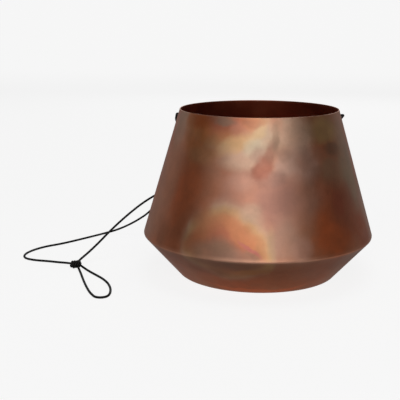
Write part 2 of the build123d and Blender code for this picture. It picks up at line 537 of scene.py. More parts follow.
@dataclass
class Pot:
    """The pot: two cones of sheet that meet at the belt, and the base disc between the lower one's foot.

    The walls are grids of rows and columns. A window in the upper wall's grid, a few columns and rows to each
    side, holds the rings of points round a cord hole.
    """

    shape: PotShape
    wear_and_highlight: EdgeWearAndHighlight = EdgeWearAndHighlight()
    columns: int = 288
    upper_rows: int = 40
    lower_rows: int = 20
    lower_inner_rows: int = 18
    belt_rows: int = 9
    edge_rows: int = 5
    collar_drop: float = 0.0014
    heel_gap: float = 0.001
    inside_depth: float = 0.6
    window_columns: int = 2
    window_step: float = 0.00225
    window_rows: int = 2
    window_shares: tuple[float, ...] = (1.0, 0.55, 0.2, 0.0)

    @property
    def bearings(self) -> Array:
        """Bearings of the grid's columns, in radians."""
        return full_circle(self.columns)

    def upper_levels(self) -> Array:
        """Space the upper wall's rows between its rounded edges, close together at the cord holes.

        Returns:
            The rows' heights.
        """
        shape = self.shape
        reach = self.window_rows * self.window_step
        belt_centre = shape.belt_arc[0]
        foot = belt_centre[1] + shape.belt_edge * sin(shape.upper_tilt)
        plain = np.linspace(foot, shape.hole_height - reach, self.upper_rows)
        holes = shape.hole_height + np.linspace(-reach, reach, 2 * self.window_rows + 1)
        return np.concatenate([plain, holes[1:]])

    def build_upper(self) -> Piece:
        """Build the upper wall: its section carried round the axis, with rings of faces round each cord hole.

        Returns:
            The wall's object.
        """
        shape = self.shape
        levels = self.upper_levels()
        belt_centre, meet = shape.belt_arc
        edge = shape.rim_edge
        outer_centre = (shape.upper(shape.height - edge, edge), shape.height - edge)
        inner_centre = (shape.upper(shape.height - edge, shape.sheet - edge), shape.height - edge)
        belt = arc(belt_centre, shape.belt_edge, meet, shape.upper_tilt, self.belt_rows)[:-1]
        outer = np.stack([shape.upper(levels), levels], axis=1)
        collar = shape.height - self.collar_drop
        rim = np.concatenate(
            [
                [(shape.upper(collar), collar)],
                arc(outer_centre, edge, shape.upper_tilt, pi / 2, self.edge_rows),
                arc(inner_centre, edge, pi / 2, pi + shape.upper_tilt, self.edge_rows),
            ]
        )
        inner_levels = levels[levels > shape.inner_corner[1] + self.heel_gap][::-1]
        inner = np.stack([shape.upper(inner_levels, shape.sheet), inner_levels], axis=1)
        heel = np.array(
            [shape.inner_corner, (shape.lower(shape.belt_height, shape.sheet), shape.belt_height)]
        )
        section = np.concatenate([belt, outer, rim, inner, heel])
        points = round_the_axis(section, self.bearings)
        faces = ring_faces(len(section), self.columns, closed_rows=True)

        outer_first = len(belt) + len(outer) - 1 - 2 * self.window_rows
        inner_first = len(belt) + len(outer) + len(rim)
        row, column = faces[:, 0] // self.columns, faces[:, 0] % self.columns
        opened = np.zeros(len(faces), dtype=bool)
        patches = []
        for side in Side:
            middle = (side.value * self.columns // 4) % self.columns
            near = (column >= middle - self.window_columns) & (column < middle + self.window_columns)
            for first in (outer_first, inner_first):
                opened |= near & (row >= first) & (row < first + 2 * self.window_rows)
            patches.append(self.hole_ring(side))
        all_points, all_faces, count = [points], faces[~opened].tolist(), len(points)
        for patch_points, patch_faces in patches:
            all_points.append(patch_points)
            all_faces += (patch_faces + count).tolist()
            count += len(patch_points)
        return mesh_piece("copper_upper_wall", np.concatenate(all_points), all_faces)

    def hole_ring(self, side: Side) -> tuple[Array, Array]:
        """Surface from the window in the outer grid to a cord hole, through the sheet to the inner grid.

        Each ring of points lies between the window's outline and the hole's circle, by a share that falls
        from one to nought on the outer face and grows back to one on the inner face.

        Args:
            side: the side of the pot that the hole is on.

        Returns:
            The points and the quads of the surface.
        """
        shape = self.shape
        step = 2 * pi / self.columns
        reach_columns, reach_rows = self.window_columns, self.window_rows
        along = np.arange(-reach_columns, reach_columns)
        rise = np.arange(-reach_rows, reach_rows)
        window_turn = np.concatenate(
            [along, np.full(len(rise), reach_columns), -along, np.full(len(rise), -reach_columns)]
        )
        window_rise = np.concatenate(
            [np.full(len(along), -reach_rows), rise, np.full(len(along), reach_rows), -rise]
        )
        turn_out = window_turn * step
        rise_out = window_rise * self.window_step
        middle = side.value * pi / 2
        grids = []
        for depth, shares in ((0.0, self.window_shares), (shape.sheet, self.window_shares[::-1])):
            centre_height = shape.hole_height - depth * sin(shape.upper_tilt)
            radius = shape.upper(centre_height, depth)
            window_height = shape.hole_height + rise_out - centre_height
            angle = np.arctan2(window_height / cos(shape.upper_tilt), turn_out * radius)
            circle_turn = shape.hole_radius * np.cos(angle) / radius
            circle_rise = shape.hole_radius * np.sin(angle) * cos(shape.upper_tilt)
            share = np.array(shares)[:, None]
            turn = middle + share * turn_out + (1 - share) * circle_turn
            height = centre_height + share * window_height + (1 - share) * circle_rise
            grids.append(place_round(shape.upper(height, depth), turn, height))
        grid = np.concatenate(grids)
        return grid.reshape(-1, 3), ring_faces(grid.shape[0], grid.shape[1], closed_rows=False)

    def build_lower(self) -> Piece:
        """Build the lower wall: its section carried round the axis.

        Returns:
            The wall's object.
        """
        shape = self.shape
        belt_centre, meet = shape.belt_arc
        belt = arc(belt_centre, shape.belt_edge, -shape.lower_tilt, meet, self.belt_rows)[::-1]
        edge = shape.foot_edge
        foot_centre = (shape.lower(edge, edge), edge)
        levels = np.linspace(belt[-1][1], edge * (1 - sin(shape.lower_tilt)), self.lower_rows)[1:-1]
        outer = np.stack([shape.lower(levels), levels], axis=1)
        foot = arc(foot_centre, edge, -shape.lower_tilt, -pi / 2, self.edge_rows)
        inner_levels = np.linspace(0.0, shape.belt_height, self.lower_inner_rows)
        inner = np.stack([shape.lower(inner_levels, shape.sheet), inner_levels], axis=1)
        section = np.concatenate([belt, outer, foot, inner])
        faces = ring_faces(len(section), self.columns, closed_rows=True)
        return mesh_piece("copper_lower_wall", round_the_axis(section, self.bearings), faces.tolist())

    def mark_edges(self, piece: Piece) -> None:
        """Store how near each point is to the worn rim and foot and to the belt's painted highlight, and
        whether it lies on the pot's inside.

        The wear and the painted highlight fall off with the distance to the belt's edge, the rim and the
        foot; a point is inside where it lies deeper than a share of the sheet.

        Args:
            piece: a wall of the pot.
        """
        shape, wear_and_highlight = self.shape, self.wear_and_highlight
        x, y, z = point_values(piece.data).T
        radius = np.hypot(x, y)
        outside = np.where(z >= shape.belt_height, shape.upper(z), shape.lower(z))
        depth = (outside - radius) * np.where(
            z >= shape.belt_height, cos(shape.upper_tilt), cos(shape.lower_tilt)
        )
        # Painted highlight along the belt, strongest towards the front; the rim and the foot carry wear.
        front = np.where(y < 0, fade(np.arctan2(x, -y) - wear_and_highlight.front, wear_and_highlight.front_spread), 0.0)
        belt = wear_and_highlight.belt + wear_and_highlight.belt_highlight_at_front * front
        belt = belt * fade(z - shape.belt_height - wear_and_highlight.belt_rise, wear_and_highlight.belt_reach)
        rim = wear_and_highlight.rim * fade(z - shape.height, wear_and_highlight.rim_reach)
        foot = wear_and_highlight.foot * fade(z, wear_and_highlight.foot_reach)
        keep_attribute(piece, "edge_wear", np.clip(belt + rim + foot, 0, 1))
        keep_attribute(piece, "inside", (depth > shape.sheet * self.inside_depth).astype(float))

    def build(self, copper: Material, floor_copper: Material) -> list[Piece]:
        """Build and dress the pot.

        Args:
            copper: the walls' finish.
            floor_copper: the base disc's finish.

        Returns:
            The new pieces.
        """
        pieces = []
        for piece, node in ((self.build_upper(), "upper_wall"), (self.build_lower(), "lower_wall")):
            self.mark_edges(piece)
            dress(piece, copper)
            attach(piece, Body.POT.value)
            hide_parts(node)
            pieces.append(piece)
        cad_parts["base_disc"].material_slots[0].material = floor_copper
        return pieces


# Solder


@dataclass
class SolderWork:
    """Solder inside the pot: a rippled fillet round each joint, and a low bead over each cone's seam.

    Lengths are in metres, and the seam's bearing and width are in degrees. The toe, the swell, the hollow,
    the level and the spread about which the seam's height and width swell, and the seam's end are shares.
    """

    shape: PotShape
    leg: float = 0.004
    gap: float = 0.00015
    toe: float = 0.93
    second_swell: float = 0.6
    hollow: float = 0.34
    base_thickness: float = 0.001
    seam_bearing: float = -15.0
    seam_width: float = 2.0
    seam_height: float = 0.0006
    seam_level: float = 0.8
    seam_spread: float = 0.92
    seam_end_gap: float = 0.0015
    seam_end: float = 0.02
    seam_end_power: int = 24
    columns: int = 288
    face_rows: int = 9
    seam_rows: int = 90
    under_columns: int = 5
    arch_columns: int = 9

    def fillet(self, name: str, corner: Array, first: Array, second: Array) -> Piece:
        """Build a fillet: a corner and a hollow face between two toes, all carried round the axis.

        The toes' reach and the face's hollow vary slowly with the bearing, as sums of sines, and the face is
        a curve of the second degree from toe to toe.

        Args:
            name: the piece's name.
            corner: radius and height of the corner that it fills.
            first, second: directions of its two legs in the section plane.

        Returns:
            The fillet's object.
        """
        bearing = full_circle(self.columns)
        swell = waves(bearing, (0.05, 17, 0.7), (0.03, 41, 0.0), (0.02, 73, 2.0))
        hollow = self.hollow + waves(bearing, (0.1, 23, 1.1), (0.06, 57, 0.0))
        heart = corner + (first + second) * self.gap
        first_toe = heart + first * (self.leg * (self.toe + swell))[:, None]
        second_toe = heart + second * (self.leg * (self.toe - self.second_swell * swell))[:, None]
        middle = (first_toe + second_toe) / 2
        dip = middle + (heart - middle) * hollow[:, None]
        share = np.linspace(0, 1, self.face_rows)[:, None, None]
        face = (1 - share) ** 2 * first_toe + 2 * share * (1 - share) * dip + share**2 * second_toe
        section = np.concatenate([np.broadcast_to(heart, (1, self.columns, 2)), face])
        faces = ring_faces(len(section), self.columns, closed_rows=True)
        return mesh_piece(name, round_the_axis(section, bearing), faces.tolist(), sharp=50.0)

    def bead(self, name: str, inside: Any, foot: float, head: float) -> Piece:
        """Build a seam bead: a flat underside on the wall and a low arched face, carried up the wall.

        The arch is half an ellipse across the seam, its height and width swell in small steps up the wall,
        and both ends run out nearly to nothing, by the root of one minus a high power of the place.

        Args:
            name: the piece's name.
            inside: the wall's inner radius at a height.
            foot, head: heights of the bead's two ends.

        Returns:
            The bead's object.
        """
        rise = np.linspace(0, 1, self.seam_rows)[:, None]
        height = foot + (head - foot) * rise
        under = np.linspace(-1, 1, self.under_columns)
        over = np.linspace(1, -1, self.arch_columns + 2)[1:-1]
        across = np.concatenate([under, over])[None, :]
        on_arch = np.concatenate([np.zeros_like(under), np.ones_like(over)])[None, :]
        ripple = self.seam_level + waves(rise, (0.12, 190, 0.0), (0.08, 83, 1.0))
        run_out = np.sqrt(np.clip(1 - np.abs(2 * rise - 1) ** self.seam_end_power, self.seam_end, 1))
        arch = np.sqrt(np.clip(1 - across**2, 0, 1)) * (self.seam_height - self.gap) * ripple * run_out
        radius = inside(height) - self.gap - arch * on_arch
        half = radians(self.seam_width) / 2 * (self.seam_spread + waves(rise, (0.08, 140, 0.4)))
        turn = radians(self.seam_bearing) + across * half
        points = place_round(radius, turn, np.broadcast_to(height, radius.shape))
        rows, columns = radius.shape
        faces = ring_faces(rows, columns, closed_rows=False).tolist()
        faces += [list(range(columns)), list(range((rows - 1) * columns, rows * columns))]
        return mesh_piece(name, points.reshape(-1, 3), faces)

    def build(self, finish: Material) -> list[Piece]:
        """Build and dress the solder.

        Args:
            finish: the solder's material.

        Returns:
            The new pieces.
        """
        shape = self.shape
        upper_up = np.array([-sin(shape.upper_tilt), cos(shape.upper_tilt)])
        lower_up = np.array([sin(shape.lower_tilt), cos(shape.lower_tilt)])
        base_corner = np.array([shape.lower(self.base_thickness, shape.sheet), self.base_thickness])
        corner = np.array(shape.inner_corner)
        clear = self.leg * cos(shape.lower_tilt) + self.seam_end_gap
        upper_foot = corner[1] + self.leg * cos(shape.upper_tilt) + self.seam_end_gap
        made = {
            "belt_solder": self.fillet("solder_at_belt", corner, upper_up, -lower_up),
            "base_solder": self.fillet("solder_at_base", base_corner, lower_up, np.array([-1.0, 0.0])),
            "upper_seam_bead": self.bead(
                "solder_upper_seam",
                lambda height: shape.upper(height, shape.sheet),
                upper_foot,
                shape.height - self.seam_end_gap,
            ),
            "lower_seam_bead": self.bead(
                "solder_lower_seam",
                lambda height: shape.lower(height, shape.sheet),
                self.base_thickness + clear,
                corner[1] - clear,
            ),
        }
        for node, piece in made.items():
            dress(piece, finish)
            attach(piece, Body.POT.value)
            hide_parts(node)
        return list(made.values())


# Cord


def from_hole(side: Side, out: float, back: float, up: float, shape: PotShape) -> Point:
    """Point measured from a cord hole on the wall's outer face.

    Args:
        side: the side that the hole is on.
        out, back, up: distances out of the wall, towards the back and up along the wall, in metres.
        shape: the pot's sizes.

    Returns:
        The point in metres.
    """
    lean = shape.upper_tilt
    x = shape.upper(shape.hole_height) + out * cos(lean) - up * sin(lean)
    return (side.value * x, back, shape.hole_height + out * sin(lean) + up * cos(lean))


def smooth_line(route: tuple[Point, ...], name: str) -> Array:
    """Read the points of a smooth NURBS line that has a route's points as its control points.

    Args:
        route: the control points in metres.
        name: a name for the line while it is made.

    Returns:
        Points along the line, one row each.
    """
    curve = bpy.data.curves.new(name, "CURVE")
    curve.dimensions = "3D"
    curve.resolution_u = 18
    spline = curve.splines.new("NURBS")
    spline.points.add(len(route) - 1)
    control = np.concatenate([np.array(route), np.ones((len(route), 1))], axis=1)
    spline.points.foreach_set("co", control.astype(np.float32).ravel())
    spline.order_u = 3
    spline.use_endpoint_u = True
    holder = add_object(name, curve)
    bpy.context.view_layer.update()
    line = bpy.data.meshes.new_from_object(holder)
    points = point_values(line).astype(float)
    bpy.data.objects.remove(holder)
    bpy.data.curves.remove(curve)
    bpy.data.meshes.remove(line)
    return points


def line_length(line: Array) -> Array:
    """Distance along a line from its start to each of its points."""
    return np.concatenate([[0.0], np.cumsum(np.linalg.norm(np.diff(line, axis=0), axis=1))])


def cord_piece(
    name: str, lines: list[Array], diameter: float, across: Point, sides: int = 20, sharp: float = 60.0
) -> Piece:
    """Make round cord along one or more lines, as one piece with closed ends and a map that follows the cord.

    Each ring of points is a circle square to the line; the map's first number goes once round the cord, and
    its second is the distance along it in metres.

    Args:
        name: the piece's name.
        lines: the cord's centre lines.
        diameter: the cord's diameter.
        across: a direction that no part of the lines runs along, from which the rings are turned.
        sides: number of points in a ring.
        sharp: edges that turn by more than this many degrees stay sharp, as round the cut ends.

    Returns:
        The cord's object.
    """
    angle = full_circle(sides)
    points, faces, maps, count = [], [], [], 0
    for line in lines:
        ahead = np.gradient(line, axis=0)
        ahead /= np.linalg.norm(ahead, axis=1)[:, None]
        first = np.cross(np.array(across), ahead)
        first /= np.linalg.norm(first, axis=1)[:, None]
        second = np.cross(ahead, first)
        ring = np.cos(angle)[None, :, None] * first[:, None] + np.sin(angle)[None, :, None] * second[:, None]
        points.append((line[:, None] + ring * diameter / 2).reshape(-1, 3))
        rows = len(line)
        quads = ring_faces(rows, sides, closed_rows=False)
        faces += (quads + count).tolist()
        faces += [list(range(count, count + sides))[::-1]]
        faces += [list(range(count + (rows - 1) * sides, count + rows * sides))]
        row, column = quads[:, 0] // sides, quads[:, 0] % sides
        turn = np.stack([column, column + 1, column + 1, column], axis=1) / sides
        reach = line_length(line)
        along = np.stack([reach[row], reach[row], reach[row + 1], reach[row + 1]], axis=1)
        maps += [np.stack([turn, along], axis=-1).reshape(-1, 2), np.zeros((2 * sides, 2))]
        count += rows * sides
    mesh = bpy.data.meshes.new(name)
    mesh.from_pydata(np.concatenate(points).tolist(), [], faces)
    cord_map = mesh.uv_layers.new(name="cord_map")
    cord_map.data.foreach_set("uv", np.concatenate(maps).astype(np.float32).ravel())
    mesh.shade_smooth()
    mesh.set_sharp_from_angle(angle=radians(sharp))
    return add_object(name, mesh)


def wound_strand(
    stations: Array,
    frame_axes: Array,
    centre: Array,
    oval: tuple[float, float] = (1.0, 1.0),
    count: int = 320,
    ease: int = 11,
) -> Array:
    """Lead a strand through a knot, from stations given round the knot's axis.

    Between stations the place along the axis, the distance from it and the turn round it go evenly, and a
    moving average then rounds the corners.

    Args:
        stations: place along the axis and distance from it in cord diameters, and turn in degrees.
        frame_axes: the knot's axis and the two directions across it, one row each, times the cord's diameter.
        centre: the knot's centre.
        oval: stretch of the knot along the two directions across it.
        count: number of points.
        ease: number of points to each side that the moving average takes in.

    Returns:
        Points along the strand.
    """
    place, distance, turn = stations[:, 0], stations[:, 1], np.radians(stations[:, 2])
    straight = np.hypot(np.diff(place), np.diff(distance))
    way = straight + np.abs(np.diff(turn)) * (distance[:-1] + distance[1:]) / 2
    reach = np.concatenate([[0.0], np.cumsum(way)])
    fine = np.linspace(0, reach[-1], count)
    window = np.hanning(2 * ease + 1)
    window /= window.sum()
    flat = np.stack([np.interp(fine, reach, place)] + [
        stretch * np.interp(fine, reach, distance) * wave(np.interp(fine, reach, turn))
        for stretch, wave in zip(oval, (np.cos, np.sin))
    ])
    padded = np.pad(flat, ((0, 0), (ease, ease)), mode="reflect", reflect_type="odd")
    eased = np.stack([np.convolve(row, window, mode="valid") for row in padded])
    return centre + eased.T @ frame_axes


@dataclass(frozen=True)
class LoopKnotForm:
    """Form of the knot in the doubled cord, with lengths in cord diameters and turns in degrees.

    The tucks are the stations of a strand's end inside the knot: its place, its distance from the knot's axis
    and the turn that it is away from the wraps.
    """

    starts: tuple[float, float] = (140.0, 320.0)
    winding: float = 720.0
    half_length: float = 2.1
    distance: float = 1.365
    slant: float = 0.32
    slant_turn: float = 60.0
    waist: float = 0.14
    waist_place: float = 0.2
    waist_reach: float = 0.45
    closing: float = 0.85
    closing_start: float = 1.0
    closing_reach: float = 1.3
    tucks: tuple[Point, ...] = ((0.5, 0.45, 60.0), (1.5, 0.5, 45.0))
    stations: int = 49


@dataclass
class CordWork:
    """The black cord: a leg from each hole to the knot on the surface, the loop, and the three knots.

    A leg goes over from the pot to its sliding end between two places, given by their Y and Z. What is named
    What is named aside is added to a knot's axis, for a direction that none of its strands runs along.
    """

    shape: PotShape
    knot: LoopKnotForm = LoopKnotForm()
    diameter: float = 0.003
    lying: float = 0.00155
    stub: float = -0.001
    stopper_middle: float = 0.0121
    stopper_oval: tuple[float, float] = (1.15, 1.0)
    knot_sides: int = 16
    knot_centre: Point = (-0.2405, -0.0215, 0.0056)
    knot_way: Point = (0.95, 0.31, 0.0)
    knot_aside: Point = (0.3, 0.1, 0.9)
    stopper_aside: Point = (0.0, 0.75, 0.65)
    bend_start: tuple[float, float] = (0.035, 0.180)
    bend_end: tuple[float, float] = (0.004, 0.203)

    def left_route(self) -> tuple[Point, ...]:
        """Lead the left leg out of its hole, down behind the pot and over the surface to the knot.

        Returns:
            The route's points in metres.
        """
        at_hole = (
            (-0.0012, -0.0002, 0.0002), (-0.0006, -0.0002, 0.0002), (0.0005, 0.0001, -0.0001),
            (0.0014, 0.0008, -0.0006), (0.0019, 0.0018, -0.0012), (0.0020, 0.0040, -0.0027),
            (0.0020, 0.0082, -0.0054), (0.0020, 0.0142, -0.0094),
        )
        on_surface = (
            (-0.2610, 0.1210), (-0.2850, 0.0920), (-0.3070, 0.0740), (-0.3200, 0.0530),
            (-0.3255, 0.0330), (-0.3210, 0.0150), (-0.3050, 0.0060), (-0.2850, 0.0030),
        )
        return (
            *(from_hole(Side.LEFT, *step, self.shape) for step in at_hole),
            (-0.1083, 0.0230, 0.1915), (-0.1086, 0.0370, 0.1800), (-0.1120, 0.0610, 0.1560),
            (-0.1187, 0.0860, 0.1300), (-0.1280, 0.1110, 0.1010), (-0.1410, 0.1335, 0.0695),
            (-0.1605, 0.1510, 0.0395), (-0.1860, 0.1610, 0.0200), (-0.2125, 0.1610, 0.0068),
            (-0.2360, 0.1500, 0.0021),
            *((x, y, self.lying) for x, y in on_surface),
            (-0.2685, -0.0032, 0.0022), (-0.2568, -0.0106, 0.0039), (-0.2486, -0.0178, 0.0056),
            (-0.2428, -0.0216, 0.0060),
        )

    def right_route(self) -> tuple[Point, ...]:
        """Lead the right leg out of its hole, round the pot's back and down to the knot.

        Returns:
            The route's points in metres.
        """
        at_hole = (
            (-0.0012, 0.0, 0.0), (0.0007, 0.0, 0.0), (0.0019, 0.0004, -0.0002),
            (0.0027, 0.0012, -0.0006), (0.0032, 0.0022, -0.0011), (0.0032, 0.0048, -0.0021),
            (0.0028, 0.0092, -0.0031), (0.0026, 0.0145, -0.0043),
        )
        return (
            *(from_hole(Side.RIGHT, *step, self.shape) for step in at_hole),
            (0.1068, 0.0230, 0.1988), (0.1042, 0.0410, 0.1910), (0.0962, 0.0720, 0.1763),
            (0.0788, 0.1040, 0.1600), (0.0530, 0.1350, 0.1440), (0.0180, 0.1560, 0.1280),
            (-0.0220, 0.1640, 0.1135), (-0.0630, 0.1550, 0.1015), (-0.1000, 0.1290, 0.0925),
            (-0.1310, 0.0960, 0.0855), (-0.1580, 0.0690, 0.0740), (-0.1820, 0.0510, 0.0565),
            (-0.2030, 0.0370, 0.0380), (-0.2190, 0.0230, 0.0220), (-0.2305, 0.0070, 0.0125),
            (-0.2366, -0.0076, 0.0090), (-0.2394, -0.0184, 0.0070),
        )

    def loop_route(self) -> tuple[Point, ...]:
        """Lead the hanging loop out of the knot, round on the surface and back into it.

        Returns:
            The route's points in metres.
        """
        on_surface = (
            (-0.2226, -0.0650), (-0.2159, -0.0850), (-0.2089, -0.1040), (-0.2018, -0.1216),
            (-0.1955, -0.1329), (-0.1920, -0.1381), (-0.1860, -0.1400), (-0.1802, -0.1379),
            (-0.1768, -0.1326), (-0.1763, -0.1210), (-0.1793, -0.1035), (-0.1860, -0.0845),
            (-0.1955, -0.0680), (-0.2060, -0.0545),
        )
        return (
            (-0.2382, -0.0226, 0.0048), (-0.2343, -0.0320, 0.0030), (-0.2292, -0.0450, 0.00165),
            *((x, y, self.lying) for x, y in on_surface),
            (-0.2160, -0.0428, 0.0018), (-0.2255, -0.0324, 0.0030), (-0.2336, -0.0236, 0.0048),
        )

    def loop_knot(self) -> Piece:
        """Build the knot in the doubled cord: two strands, half a turn apart, wound round it side by side.

        Along the knot each strand goes evenly from end to end while it turns, leaning with the turn, so that
        its wraps slant. Its distance from the knot's axis dips at the waist and closes in at both ends, where
        the strand turns back into the knot.

        Returns:
            The knot's object.
        """
        way = np.array(self.knot_way) / np.linalg.norm(self.knot_way)
        upright = np.array([0.0, 0.0, 1.0])
        axes = np.stack([way, np.cross(upright, way), upright]) * self.diameter
        knot = self.knot
        share = np.linspace(0.0, 1.0, knot.stations)
        lines = []
        for start in knot.starts:
            turn = start + knot.winding * share
            place = knot.half_length * (1 - 2 * share)
            place = place + knot.slant * np.cos(np.radians(turn - knot.slant_turn))
            waist = knot.waist * fade(place - knot.waist_place, knot.waist_reach)
            near_end = np.clip((np.abs(place) - knot.closing_start) / knot.closing_reach, 0.0, 1.0)
            wraps = np.stack([place, knot.distance - waist - knot.closing * near_end**2, turn], axis=1)
            first = [(inner, reach, start - away) for inner, reach, away in knot.tucks]
            last = [(-inner, reach, turn[-1] + away) for inner, reach, away in knot.tucks[::-1]]
            stations = np.concatenate([first, wraps, last])
            lines.append(wound_strand(stations, axes, np.array(self.knot_centre)))
        across = tuple(way + np.array(self.knot_aside))
        return cord_piece("cord_loop_knot", lines, self.diameter, across, self.knot_sides)

    def stopper_knot(self, side: Side) -> Piece:
        """Build a stopper knot: the cord comes in through its hole, is knotted once and ends in a short tail.

        Args:
            side: the side that the hole is on.

        Returns:
            The knot's object.
        """
        lean = self.shape.upper_tilt
        inward = np.array([-side.value * cos(lean), 0.0, -sin(lean)])
        up = np.array([-side.value * sin(lean), 0.0, cos(lean)])
        axes = np.stack([inward, np.array([0.0, 1.0, 0.0]), up]) * self.diameter
        centre = np.array(from_hole(side, 0.0, 0.0, 0.0, self.shape)) + inward * self.stopper_middle
        stub = -(self.stopper_middle + self.stub) / self.diameter
        stations = (
            # In through the hole and under the wraps
            (stub, 0.0, 60), (-2.4, 0.0, 60), (-1.65, 0.0, 60), (-1.0, 0.3, 60), (0.8, 0.5, 60),
            # Round in wraps, back towards the wall
            (1.3, 0.75, 95), (1.05, 1.05, 150), (0.6, 1.05, 240),
            (-0.65, 1.05, 480), (-0.95, 1.02, 550), (-1.05, 0.8, 600),
            # Under the wraps again and out into the tail
            (-0.75, 0.5, 620), (1.0, 0.5, 620), (1.9, 0.9, 618), (3.0, 2.3, 618), (4.2, 4.2, 618),
        )
        line = wound_strand(np.array(stations), axes, centre, self.stopper_oval)
        name = f"cord_{side.name.lower()}_stopper_knot"
        across = tuple(inward + np.array(self.stopper_aside))
        return cord_piece(name, [line], self.diameter, across, self.knot_sides)

    def build(self, finish: Material) -> list[Piece]:
        """Args:
            finish: the cord's material.

        Returns:
            The new pieces.
        """
        upright = (0.0, 0.0, 1.0)
        knot = self.loop_knot()
        dress(knot, finish)
        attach(knot, Body.POT.value)
        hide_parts("loop_knot")
        pieces = [knot]
        legs = (
            (Side.LEFT, self.left_route(), Body.LEFT_END),
            (Side.RIGHT, self.right_route(), Body.RIGHT_END),
        )
        for side, route, end_body in legs:
            word = side.name.lower()
            line = smooth_line(route, f"{word}_leg_line")
            leg = cord_piece(f"cord_{word}_leg", [line], self.diameter, upright)
            dress(leg, finish)
            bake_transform(leg)
            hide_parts(f"{word}_cord_leg")
            stopper = self.stopper_knot(side)
            dress(stopper, finish)
            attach(stopper, end_body.value)
            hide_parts(f"{word}_stopper_knot")
            pieces += [leg, stopper]
        line = smooth_line(self.loop_route(), "loop_line")
        loop = cord_piece("cord_hanging_loop", [line], self.diameter, upright)
        dress(loop, finish)
        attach(loop, Body.POT.value)
        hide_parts("hanging_loop")
        return pieces + [loop]


# Finishes


class Mark(Enum):
    """The two kinds of mark that the flame leaves on the copper."""

    PATCH = "tint_patch"
    TORCH = "torch_mark"


@dataclass(frozen=True)
class HeatMark:
    """A mark of the flame: where it lies, its half width and half height, its colour, strength and lean.

    Bearing and lean are in degrees, lengths in metres, and the colour is on the display scale. Its edge
    fades over the share of its reach that soft gives, deep is its reach into the pot, and shift moves a
    torch mark's inner rings off its centre.
    """

    bearing: float
    height: float
    across: float
    up: float
    colour: Colour = (0.0, 0.0, 0.0)
    strength: float = 1.0
    lean: float = 0.0
    soft: float = 0.55
    deep: float = 0.09
    shift: tuple[float, float] = (0.0, 0.0)
    kind: Mark = Mark.PATCH

    def axes(self, shape: PotShape) -> tuple[Array, Array, Array, Array]:
        """Place the mark on the pot.

        Args:
            shape: the pot's sizes.

        Returns:
            The mark's centre, and the directions across, up and out of it, each over its reach.
        """
        centre, right, up, out = shape.wall_frame(self.bearing, self.height)
        turn = radians(self.lean)
        along = right * cos(turn) - up * sin(turn)
        over = right * sin(turn) + up * cos(turn)
        return centre, along / self.across, over / self.up, out / self.deep


